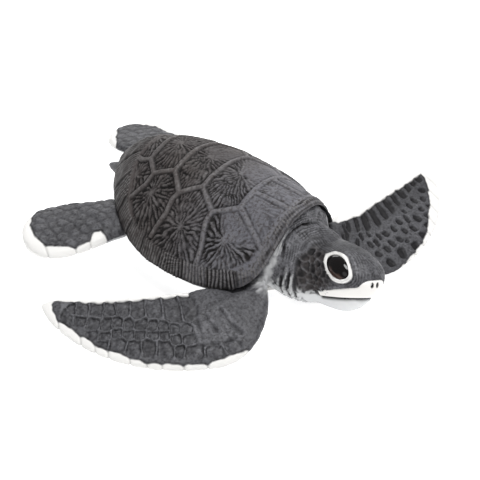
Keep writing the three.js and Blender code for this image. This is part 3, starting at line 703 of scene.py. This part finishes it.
def foreRelief(name, points, normals, near, paint):
    height, brush, washShade = (paint[name] for name in ("height", "brush", "washShade"))
    limb = limbs[name]
    place = local(points, limb["at"], limbAxes(limb))
    s, c = place[:, 0], place[:, 1]
    flat = place[:, :2]
    on = 1 - ramp(near, 0.7, 1.6)
    field = edgeScales(name, flat, on, normals @ np.array(limbAxes(limb)[2]), points, paint)
    dents, edge = (nearDents, 1.4) if limb["side"] < 0 else (farDents, 2.9)
    nearest, second, tone = dentField(s, c, dents, points, edge)
    share = nearest / second
    rough, fine = noise(points, 2.1, 75), noise(points, 0.9, 77)
    slat = 1 - ramp(c, 10, 15)
    if limb["side"] < 0:  # broad scales, nearly touching
        crest = ramp(share, 0.74, 0.95) * (1 - ramp(nearest, 1.6, 2.2)) * (0.1 + 1.2 * rough)
        body = (1 - ramp(share, 0.66, 0.88)) * (1 - ramp(nearest, 0.95, 1.5)) * field
        height += field * (0.38 * crest + 0.3 * rough + 0.14 * fine)
        height += body * (0.5 * (1 - np.minimum(nearest, 1)) - 0.75)
        brush += field * (0.3 * crest + 0.34 * fine + 0.2 * body * tone)
        # painted shade, with the wash, beside the crests and in the dents
        washShade += 0.8 * field * hill(share - 0.76, 0.08) * (1 - ramp(nearest, 1.1, 1.6)) * (1.5 * rough - 0.1)
        washShade += body * (0.1 + 0.4 * tone + 0.5 * (0.5 - fine))
        fold = np.minimum.reduce([lineDistance(flat, line) for line in shoulderFolds])
        fold = fold + 1.6 * (noise(points, 2.8, 73) - 0.4)
        height -= 0.6 * hill(fold, 0.7) * field
        # painted shade in the shoulder folds
        washShade += 0.7 * hill(fold, 0.4) * field * (0.1 + rough)
        brush += 0.3 * hill(fold - 1.8, 0.8) * field
        chest = points - np.array([shellMiddle.x - 23, shellMiddle.y - 49.5, 16.5])
        chest = np.linalg.norm(chest, axis=1) + 5 * (noise(points, 1.6, 74) - 0.5)
        layOver(paint, "pale", on * (1 - ramp(chest, 3.5, 8)) * (0.35 + 0.6 * rough))
    else:  # small dark pits in the middle, long dark slats behind
        grow = 1.02 + 0.12 * slat
        pit = (1 - ramp(nearest, 0.66, grow)) * (1 - ramp(share, 0.75, 0.93)) * field
        crest = ramp(share, 0.8, 0.97) * (1 - ramp(nearest, 1.5, 2.1)) * (0.3 + 0.8 * rough)
        height += field * (0.3 * crest + 0.16 * rough + 0.1 * fine) - 0.9 * pit
        brush += field * (0.4 * crest * (1 - 0.3 * slat) + 0.2 * (1 - pit) * fine)
        # painted shade, with the wash, in the pits and along the slats
        washShade += pit * (0.75 + 0.3 * tone * (1 - slat) + 0.3 * (0.5 - fine)) + 0.28 * field * slat
    slack = field * (1 - ramp(s, 6, 16)) * ramp(nearest, 1.2, 1.8)
    creases = fineCreases(s + 0.7 * c + 4 * noise(points, 9, 78), 2.3, points, 76)
    height -= 0.12 * slack * creases
    # painted shade in the creases of the slack skin
    washShade += 0.16 * slack * creases


def hindRelief(name, points, normals, near, paint):
    height, brush, washShade = (paint[name] for name in ("height", "brush", "washShade"))
    limb = limbs[name]
    place = local(points, limb["at"], limbAxes(limb))
    flat = place[:, :2]
    on = 1 - ramp(near, 0.7, 1.6)
    field = edgeScales(name, flat, on, normals @ np.array(limbAxes(limb)[2]), points, paint)
    seeds = jitteredSeeds((0, 46), (-18, 18), 4.8, 7)
    warped = flat + 1.6 * np.stack([noise(points, 3, 82), noise(points, 3, 83)], -1)
    first, second = twoNearest(warped, seeds)
    cell = ramp(second - first, 0.1, 2.4)
    soft = noise(points, 4.5, 84)
    height += field * (0.32 * cell + 0.5 * soft)
    # painted shade in the low borders of the cells, with soft dark blotches
    washShade += field * (0.35 * (1 - cell) * soft + 0.3 * (1 - noise(points, 6, 85)))
    brush += field * (0.15 + 0.35 * cell * noise(points, 2, 86))


def headRelief(points, near, paint):
    height, brush, washShade = (paint[name] for name in ("height", "brush", "washShade"))
    h = headForm
    place = local(points, h["at"], headFrame)
    s, o, u = place.T
    on = 1 - ramp(np.minimum(near["head"], near["neck"]), 0.7, 1.6)
    elevation = np.degrees(np.arctan2(u, np.abs(o)))
    # eyelids, painted white
    lidGap, inEye = np.full(len(points), 9.0), np.zeros(len(points))
    turns = np.linspace(0, 2 * math.pi, 80)
    for side in (-1, 1):
        lidGap = np.minimum(lidGap, lineDistance(place, lidPoint(turns, side)))
        out, slit, down = eyeAxes(side)
        away = place - eyeMiddle(side)
        oval = ((away @ slit) / eyeForm["lidLength"]) ** 2 + ((away @ down) / eyeForm["lidHeight"]) ** 2
        inEye = np.maximum(inEye, (oval < 1) & (away @ out > -3))
    lid = np.maximum(1 - ramp(lidGap, 0.9, 1.15), inEye) * on
    bare = on * (1 - lid)
    # cheek scales between a long fold and the eye
    fold = lineDistance(np.stack([s, np.abs(o), u], -1), cheekFold)
    foldStart = np.interp(u, (-9, 5, 8, 12), (1.5, 0.5, 2.4, 3))
    cheek = bare * ramp(s - foldStart, 0.4, 1.6) * (1 - ramp(elevation, 38, 50))
    cheek = cheek * ramp(u, -8.6, -6.8) * (1 - ramp(s, 14, 19))
    rows = np.stack([s + 1.1 * noise(points, 2, 90), elevation * 0.235 + 1.1 * noise(points, 2, 91)], -1)
    seeds = jitteredSeeds((-4, 24), (-14, 14), 3.1, 9)
    first, second = twoNearest(rows, seeds)
    cell = ramp(second - first, 0.1, 1.1)
    rough = noise(points, 1.4, 92)
    height += cheek * (0.3 * (1 - cell) - 0.25 * cell + 0.4 * rough)
    brush += cheek * ((1 - cell) * 0.7 * rough + 0.3 * noise(points, 0.8, 89) * rough)
    # painted shade, with the wash, in the sunken cheek scales
    washShade += cheek * (0.15 + cell * (0.1 + 0.75 * ramp(noise(points, 2.2, 93), 0.3, 0.7)))
    paint["warm"] += cheek * 0.8
    height += 0.45 * bare * hill(fold, 0.9)
    brush += 0.5 * bare * hill(fold, 0.8)
    # painted shade beside the cheek fold
    washShade += 0.35 * bare * hill(fold - 1.7, 0.6) * (s > 1)
    # plates under the eye, above the beak
    plates = bare * hill(u - beakTopUp(s) - 0.9, 0.5) * ramp(s, 8, 11) * (1 - ramp(s, 21, 25))
    height += 0.2 * plates
    brush += 0.75 * plates
    below = bare * hill(lidGap - 2.5, 0.6) * ramp(u, -9, -3) * (1 - ramp(u, 2, 4))
    # painted shade in a band beside the eyelids
    washShade += 0.3 * below
    # fine wrinkles round the front of the eye, over the crown and the snout, with painted shade in them
    front = bare * ramp(s, 15, 20) * (1 - ramp(lidGap, 7, 10)) * ramp(u, -3, 0)
    rings = fineCreases(lidGap, 1.05, points, 94)
    crown = bare * ramp(elevation, 36, 50) * (1 - 0.7 * front)
    rows = fineCreases(0.23 * elevation + 0.12 * s, 1.0, points, 97)
    height -= 0.14 * (front * rings + crown * rows)
    washShade += 0.45 * (front * rings + crown * rows)
    brush += front * (0.1 + 0.6 * (1 - rings) * noise(points, 1.2, 98))
    brush += crown * (0.5 * (1 - rows) * noise(points, 1.2, 99))
    washShade += 0.2 * crown
    brush += 0.6 * bare * hill(lidGap - 2.7, 0.45) * ramp(s, 14, 18) * ramp(u, 2, 5)
    # painted shade in the crease just outside the eyelids
    washShade += 0.35 * bare * hill(lidGap - 1.6, 0.3)
    # mouth and jaw
    ahead = ramp(s, h["mouthCorner"] - 0.6, h["mouthCorner"] + 0.6)
    covered = on * ahead * ramp(u, mouthUp(s), mouthUp(s) + 0.3)
    covered = covered * (1 - ramp(u, beakTopUp(s) - 0.3, beakTopUp(s)))
    height -= 0.45 * covered
    slot = on * ahead * hill(u - mouthUp(s) + 0.35, 0.6)
    height -= 0.9 * slot
    jaw = np.where(s > h["mouthCorner"], 1 - ramp(u, beakTopUp(s) - 0.3, beakTopUp(s) + 0.1),
                   1 - ramp(u + 1.4 * (noise(points, 1.5, 95) - 0.5), -9.3, -8.5))
    layOver(paint, "pale", jaw * bare)
    layOver(paint, "white", lid)
    for name in ("brush", "washShade", "warm"):
        paint[name] *= 1 - lid
    height *= 1 - 0.9 * lid
    # painted shade in the mouth slot
    washShade += 1.4 * slot


def neckRelief(points, near, paint):
    height, brush, washShade = (paint[name] for name in ("height", "brush", "washShade"))
    where = np.stack([shellMiddle.y - points[:, 1], points[:, 0] - shellMiddle.x, points[:, 2]], -1)
    ahead, side, z = where.T
    s = local(points, headForm["at"], headFrame)[:, 0]
    skinOn = 1 - ramp(np.minimum(near["neck"], near["trunk"]), 0.7, 1.6)
    mirrored = where * (1, -1, 1)
    arc = np.minimum(lineDistance(where, collarArc), lineDistance(mirrored, collarArc[4:]) + 2)
    groove = skinOn * hill(arc, 0.45)
    height -= 0.7 * groove
    # painted shade in the groove along the collar
    washShade += groove
    # fine lines that follow the arc, and deep folds low on the neck, with painted shade in them
    neck = skinOn * ramp(ahead, 46.5, 48) * (1 - ramp(s, -0.5, 3))
    lines = fineCreases(arc + 0.18 * z, 1.15, points, 101)
    height -= neck * lines * 0.2
    washShade += neck * lines * 0.5
    brush += neck * (1 - lines) * (0.3 + 0.55 * noise(points, 1.6, 103))
    bent = ahead + 0.9 * noise(points, 4, 104) - 0.45 + 0.5 * (noise(points, 1.3, 105) - 0.5)
    wave = 0.5 + 0.5 * np.cos(2 * math.pi * (bent - 51.4) / 3)
    streak = noise(points * (1, 1, 0.35), 1.3, 106)
    strong = neck * (1 - ramp(z, 18.5, 23)) * ramp(ahead, 49, 51)
    height += strong * (0.3 - 0.8 * ramp(wave, 0.45, 0.8))
    washShade += strong * ramp(wave, 0.5, 0.85) * 1.1 * ramp(streak, 0.2, 0.5)
    glow = strong * (1 - ramp(wave, 0.2, 0.45)) * ramp(streak + 0.5 * (1 - ramp(z, 12, 19)), 0.5, 0.8)
    # the throat, with a speckled border
    speck = ramp(noise(points, 1.1, 107), 0.55, 0.7) * (1 - ramp(z, 13, 15.5))
    onBoth = 1 - ramp(np.minimum(near["neck"], near["head"]), 0.7, 1.6)
    throat = (1 - ramp(z + 1.8 * (noise(points, 1.3, 108) - 0.5), 11.1, 12.4)) * (1 - ramp(s, 9, 12))
    patches = np.maximum.reduce([throat, 0.85 * speck * (s < 8), 0.9 * glow])
    layOver(paint, "pale", onBoth * patches)
    # collar of skin between the shell and the neck, with a white strip down its edge
    wide = 0.6 + 1.1 * (1 - ramp(z, 16, 31)) + 1.8 * (noise(points * (1, 1, 0.5), 1.2, 109) - 0.5)
    stripGap = np.minimum(lineDistance(where, paleStrip), lineDistance(mirrored, paleStrip[2:]))
    stripGap = stripGap - 1.8 * ramp(z, 24, 28) * ramp(arc, 0.8, 1.6) * (side < 0)
    strip = 1 - ramp(stripGap, wide - 0.9, wide + 0.9)
    strip = strip * (0.45 + 0.55 * noise(points * (1, 1, 0.35), 0.9, 115))
    trunkOn = (1 - ramp(near["trunk"], 0.7, 1.6)) * ramp(ahead, 40, 43)
    layOver(paint, "pale", trunkOn * strip)
    layOver(paint, "pale", 0.7 * trunkOn * (1 - ramp(z, 12, 15)))
    around = np.arctan2(z - 17, side)
    ribs = 0.5 + 0.5 * np.sin(around * 42 + 3 * noise(points, 3, 110))
    height += 0.16 * ribs * trunkOn * ramp(z, 18, 24)
    brush += trunkOn * (0.25 + 0.3 * ribs * noise(points, 2, 111))


def insideCad(points):  # held within the outline of the CAD part
    low, high = (np.array(corner) / mm for corner in cadBounds)
    return np.clip(points, low + 0.02, high - 0.02)


def reliefSkin(skin):
    points, normals = getPoints(skin), getNormals(skin)
    paint = {name: np.zeros(len(points)) for name in ("height", "brush", "washShade", "white", "pale", "warm")}
    near = {name: nearNode(points, [name]) for name in limbs}
    near["head"] = nearNode(points, ["head", "jaw", "beak", "eye_right", "eye_left"])
    near["neck"] = nearNode(points, ["neck"])
    near["trunk"] = nearNode(points, ["trunk"])
    print("  nearest nodes found")
    for name in ("front_flipper_right", "front_flipper_left"):
        foreRelief(name, points, normals, near[name], paint)
    for name in ("rear_flipper_right", "rear_flipper_left"):
        hindRelief(name, points, normals, near[name], paint)
    neckRelief(points, near, paint)
    headRelief(points, near, paint)
    below = 1 - ramp(normals[:, 2], -0.6, -0.25)
    layOver(paint, "pale", below * (near["trunk"] < 2))
    grain = noise(points, 1.2, 112) + 0.5 * noise(points, 0.7, 113) - 0.75
    setPoints(skin, insideCad(points + normals * (paint["height"] + 0.08 * grain)[:, None]))
    # the dark coat is the figure's wash together with painted shade in its hollows
    for attribute, name in (("dryBrush", "brush"), ("washAndShade", "washShade"), ("white", "white"),
                            ("pale", "pale"), ("warmth", "warm")):
        setPaint(skin, attribute, paint[name])


def thinOut(skin):  # fewer triangles where nobody looks, and a cap on the whole
    for part in ("covered", "below"):
        points, normals = getPoints(skin), getNormals(skin)
        ahead, side = shellMiddle.y - points[:, 1], points[:, 0] - shellMiddle.x
        covered = ((ahead / 46) ** 2 + (side / 35) ** 2 < 1) & (points[:, 2] > 12) & (points[:, 2] < 36)
        chosen = covered if part == "covered" else (normals[:, 2] < -0.2) & ~covered
        bpy.ops.object.mode_set(mode="EDIT")
        bpy.ops.mesh.select_mode(type="VERT")
        bpy.ops.mesh.select_all(action="DESELECT")
        bpy.ops.object.mode_set(mode="OBJECT")
        skin.data.vertices.foreach_set("select", chosen)
        bpy.ops.object.mode_set(mode="EDIT")
        bpy.ops.mesh.decimate(ratio=skinForm[part])
        bpy.ops.object.mode_set(mode="OBJECT")
    triangles = sum(len(p.vertices) - 2 for p in skin.data.polygons)
    if triangles > skinForm["triangles"]:
        applyModifier(skin, "DECIMATE", ratio=skinForm["triangles"] / triangles)


print("skin")
skin = makeSkin()
print("  remeshed", len(skin.data.vertices))
reliefSkin(skin)
thinOut(skin)
activate(skin)
bpy.ops.object.shade_smooth()


# Eyes: glossy lenses with a dark iris


def makeEye(name, side):
    bpy.ops.mesh.primitive_uv_sphere_add(segments=96, ring_count=48, radius=1)
    eye = renamed(name)
    ball = getPoints(eye) * mm
    out, slit, down = eyeAxes(side)
    e = eyeForm
    place = (eyeMiddle(side) + ball[:, :1] * e["halfLength"] * slit + ball[:, 1:2] * e["halfHeight"] * down
             + ball[:, 2:] * e["thick"] * out)
    setPoints(eye, fromHead(place))
    editMesh(eye, (bpy.ops.mesh.normals_make_consistent, {"inside": False}))
    p, q = ball[:, 0] * e["halfLength"], ball[:, 1] * e["halfHeight"]
    iris = ramp(np.hypot(p - 0.8, q + 0.2), 2.4, 3.2) * ramp(q, 1.3, 2.2) * ramp(p, -3.0, -0.5)
    rays = noise(np.stack([np.arctan2(q, p) * 14, 0 * p, 0 * p], -1), 1, 7)
    setPaint(eye, "iris", iris * (0.5 + 0.5 * rays))
    bpy.ops.object.shade_smooth()
    return eye


print("eyes")
eyes = {"eye_right": makeEye("eye.right", -1), "eye_left": makeEye("eye.left", 1)}


# Beak: a thin painted plate wrapped round the snout, above the line of the mouth

beakLook = {"around": 260, "high": 60, "proud": 0.12, "thick": 1.3,
            "nostril": (30.2, -0.35, 0.7), "apart": 1.25}


def makeBeak():
    look = beakLook
    bpy.ops.mesh.primitive_grid_add(x_subdivisions=look["around"], y_subdivisions=look["high"], size=2)
    beak = renamed("beak.plate")
    flat = getPoints(beak) * mm
    turn, t = flat[:, 0] * math.pi / 2, (flat[:, 1] + 1) / 2
    h = headForm
    start = h["mouthCorner"]

    def outline(turn, t):
        low, high = np.zeros(len(turn)), np.full(len(turn), 40.0)
        for _ in range(40):
            reach = (low + high) / 2
            s, o = start + reach * np.cos(turn), reach * np.sin(turn)
            bottom, top = mouthUp(s) + 0.2, beakTopUp(s)
            up = bottom + (np.maximum(top, bottom + 0.3) - bottom) * t
            inside = (np.abs(o) < headHalfWidth(s, up)) & (s < h["length"])
            low, high = np.where(inside, reach, low), np.where(inside, high, reach)
        return np.stack([s, o, up], -1)

    place = outline(turn, t)
    setPoints(beak, fromHead(place))
    normals = getNormals(beak)
    centre = fromHead(np.array([[12.0, 0, -2]]))[0]
    if ((getPoints(beak) - centre) * normals).sum() < 0:
        editMesh(beak, (bpy.ops.mesh.flip_normals, {}))
        normals = -normals
    nostril = np.zeros(len(place))
    for side in (-1, 1):
        hole = np.array(look["nostril"]) + (0, side * look["apart"], 0)
        gap = np.linalg.norm((place - hole) * (0.25, 1, 0.6), axis=1)
        nostril = np.maximum(nostril, 1 - ramp(gap, 0.5, 0.8))
    edge = np.minimum(t * 4, (1 - t) * 4)
    lift = (look["proud"] - 0.5 * nostril - 0.25 * (1 - ramp(edge, 0, 0.5))
            + 0.05 * (noise(place, 1.5, 5) - 0.5))
    setPoints(beak, insideCad(getPoints(beak) + normals * lift[:, None]))
    setPaint(beak, "washAndShade", 1.5 * nostril)
    applyModifier(beak, "SOLIDIFY", thickness=look["thick"] * mm, offset=-1, use_rim=True)
    bpy.ops.object.shade_smooth()
    return beak


print("beak")
beak = makeBeak()


# Belly plate: pale plates parted by shallow seams, under the whole body

bellyLook = {"voxel": 0.7, "seams": (28, 12, -2, -16, -29), "seamWidth": 0.55, "seamDepth": 0.5}


def makeBelly():
    look = bellyLook
    belly = copyOf(["plastron"], "belly.plate")
    applyModifier(belly, "REMESH", mode="VOXEL", voxel_size=look["voxel"] * mm)
    applyModifier(belly, "SMOOTH", factor=0.5, iterations=3)
    points, normals = getPoints(belly), getNormals(belly)
    ahead, side = shellMiddle.y - points[:, 1], points[:, 0] - shellMiddle.x
    bent = ahead + 1.5 * np.cos(side / 9) + 1.2 * (noise(points, 6, 121) - 0.5)
    gap = np.minimum.reduce([np.abs(side + 0.8 * (noise(points, 7, 122) - 0.5))] +
                            [np.abs(bent - seam) for seam in look["seams"]])
    groove = hill(gap, look["seamWidth"])
    setPoints(belly, points - normals * (look["seamDepth"] * groove)[:, None])
    # painted shade in the belly seams, and a faint uneven wash
    setPaint(belly, "washAndShade", 0.35 * groove + 0.12 * noise(points, 5, 123))
    bpy.ops.object.shade_smooth()
    return belly


print("belly")
belly = makeBelly()


# Materials: soft vinyl, sprayed and then painted by hand in coats, each coat laid on where its mask is

finishes = {
    # matt acrylic on moulded vinyl: no sheen, cool grey in front, warm behind, black wash with painted shade
    # in the grooves and under the rim
    "shell matt vinyl paint": {
        "base": "#5e5e64", "grain": 0.25, "sockets": {"Roughness": 0.55, "Specular IOR Level": 0.2},
        "coats": [("warmth", "#39322f"), ("dryBrush", "#6a6868"), (1.1, "#332e2d"), ("washAndShade", "#0b0808")],
    },
    # the same paint on the skin, in one grey: light on the raised scales, off-white edges and throat, and
    # dark wash with painted shade in the dents, folds and slots
    "skin matt vinyl paint": {
        "base": "#404043", "grain": 0.25, "sockets": {"Roughness": 0.55, "Specular IOR Level": 0.2},
        "coats": [("warmth", "#322b28"), ("dryBrush", "#727276"), (1.0, "#262527"), ("pale", "#bfc0c1"),
                  ("white", "#d2d1cf"), ("washAndShade", "#111012")],
    },
    # a thicker satin coat: a cleaner white with a soft light on it, and black in the nostrils
    "beak satin vinyl paint": {
        "base": "#dbd9d6", "grain": 0.1, "sockets": {"Roughness": 0.4, "Specular IOR Level": 0.2},
        "coats": [("washAndShade", "#0c0b0c")],
    },
    # off-white matt paint with a thin grey wash and painted shade in the seams of the belly
    "belly matt vinyl paint": {
        "base": "#d2d1cf", "grain": 0.25, "sockets": {"Roughness": 0.55, "Specular IOR Level": 0.2},
        "coats": [("washAndShade", "#8d8b88")],
    },
    # clear lacquer over black paint: small sharp lights and a faint brown iris
    "eye gloss lacquer": {
        "base": "#0b0909", "grain": 0.0, "sockets": {"Roughness": 0.05, "Specular IOR Level": 0.2},
        "coats": [("iris", "#3a2a24")],
    },
    # a sheet lit from behind: it glows a little, so hardly a shadow shows on it
    "white paper floor": {
        "base": "#f4f4f4", "grain": 0.02, "coats": [],
        "sockets": {"Roughness": 0.9, "Specular IOR Level": 0.2, "Emission Color": (1, 1, 1, 1),
                    "Emission Strength": 0.6},
    },
}
paintGrain = {"patch": 3, "orangePeel": 0.6, "orangePeelDepth": 0.15}  # mm across, and mm deep


def srgb(text):
    parts = [int(text[k:k + 2], 16) / 255 for k in (1, 3, 5)]
    return [c / 12.92 if c <= 0.04045 else ((c + 0.055) / 1.055) ** 2.4 for c in parts] + [1]


def addNode(material, kind, settings=None, inputs=None):
    node = material.node_tree.nodes.new(kind)
    for key, value in (settings or {}).items():
        setattr(node, key, value)
    for key, value in (inputs or {}).items():
        if isinstance(value, bpy.types.NodeSocket):
            material.node_tree.links.new(value, node.inputs[key])
        else:
            node.inputs[key].default_value = value
    return node


def mixPaint(title):
    look = finishes[title]
    paint = bpy.data.materials.new(title)
    paint.use_nodes = True
    paint.node_tree.nodes.clear()
    where = addNode(paint, "ShaderNodeTexCoord").outputs["Object"]
    colour = srgb(look["base"])
    for coat, over in look["coats"]:
        if isinstance(coat, float):  # brushed spots that many mm across, all over
            spots = addNode(paint, "ShaderNodeTexNoise", {}, {"Vector": where, "Scale": 1 / (coat * mm)})
            factor = addNode(paint, "ShaderNodeMath", {"operation": "MULTIPLY_ADD", "use_clamp": True},
                             {0: spots.outputs["Fac"], 1: 3.2, 2: -1.45}).outputs[0]
        else:
            factor = addNode(paint, "ShaderNodeAttribute", {"attribute_name": coat}).outputs["Fac"]
        if coat == "dryBrush":  # the brush catches in patches
            patch = addNode(paint, "ShaderNodeTexNoise", {},
                            {"Vector": where, "Scale": 1 / (paintGrain["patch"] * mm), "Detail": 4.0})
            for strength in (patch.outputs["Fac"], 1.6):
                factor = addNode(paint, "ShaderNodeMath", {"operation": "MULTIPLY"},
                                 {0: factor, 1: strength}).outputs[0]
        mix = addNode(paint, "ShaderNodeMix", {"data_type": "RGBA"}, {0: factor, 6: colour, 7: srgb(over)})
        colour = mix.outputs[2]
    peel = addNode(paint, "ShaderNodeTexNoise", {},
                   {"Vector": where, "Scale": 1 / (paintGrain["orangePeel"] * mm), "Detail": 3.0})
    bump = addNode(paint, "ShaderNodeBump", {}, {"Strength": look["grain"], "Height": peel.outputs["Fac"],
                                                 "Distance": paintGrain["orangePeelDepth"] * mm})
    shader = addNode(paint, "ShaderNodeBsdfPrincipled", {},
                     {**look["sockets"], "Base Color": colour, "Normal": bump.outputs["Normal"]})
    addNode(paint, "ShaderNodeOutputMaterial", {}, {"Surface": shader.outputs["BSDF"]})
    return paint


print("paints")
paints = {title: mixPaint(title) for title in finishes}
for piece, title, slot, replaced in (
        (shell, "shell matt vinyl paint", "shell_vinyl", ["carapace"]),
        (skin, "skin matt vinyl paint", "skin_vinyl", fleshNodes),
        (beak, "beak satin vinyl paint", "beak_vinyl", ["beak"]),
        (belly, "belly matt vinyl paint", "belly_vinyl", ["plastron"]),
        (eyes["eye_right"], "eye gloss lacquer", "eye_gloss", ["eye_right"]),
        (eyes["eye_left"], "eye gloss lacquer", "eye_gloss", ["eye_left"])):
    piece.data.materials.append(paints[title])
    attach(piece, "root")
    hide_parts(*replaced)

# Floor, light and camera

studio = {
    "floorSize": 6,  # metres
    "daylight": 0.46,
    "softboxes": {  # place, what it points at, width and height, watts
        "key": ((150, -150, 950), (0, 0, 0), (420, 420), 10),
        "fill": ((-700, -300, 600), (0, 0, 0), (600, 600), 1.5),
        "rim": ((500, 600, 350), (0, 20, 30), (500, 300), 2),
    },
    "target": (0.37, -14.42, 7.5), "back": (-0.61535, -0.52521, 0.58779),  # from the shell's middle
    "distance": 615.42, "lens": 109.816, "sensor": 36,
}

print("floor, light and camera")
bpy.ops.mesh.primitive_plane_add(size=studio["floorSize"])
floor = renamed("floor")
floor.data.materials.append(paints["white paper floor"])

world = bpy.data.worlds.new("soft studio")
bpy.context.scene.world = world
world.use_nodes = True
sky = world.node_tree.nodes["Background"]
sky.inputs["Color"].default_value = (1, 1, 1, 1)
sky.inputs["Strength"].default_value = studio["daylight"]

for name, (place, aim, size, power) in studio["softboxes"].items():
    bpy.ops.object.light_add(type="AREA", location=[v * mm for v in place])
    lamp = bpy.context.object
    lamp.name = name
    lamp.data.shape = "ELLIPSE"
    lamp.data.size, lamp.data.size_y = [side * mm for side in size]
    lamp.data.energy = power
    lamp.rotation_euler = (Vector(aim) - Vector(place)).to_track_quat("-Z", "Y").to_euler()

target = Vector((shellMiddle.x, shellMiddle.y, 0)) + Vector(studio["target"])
back = Vector(studio["back"]).normalized()
bpy.ops.object.camera_add(location=(target + back * studio["distance"]) * mm)
camera = bpy.context.object
camera.rotation_euler = (-back).to_track_quat("-Z", "Y").to_euler()
camera.data.sensor_width = studio["sensor"]
camera.data.lens = studio["lens"]
camera.data.clip_start = 0.01
bpy.context.scene.camera = camera
bpy.context.scene.view_settings.view_transform = "Standard"
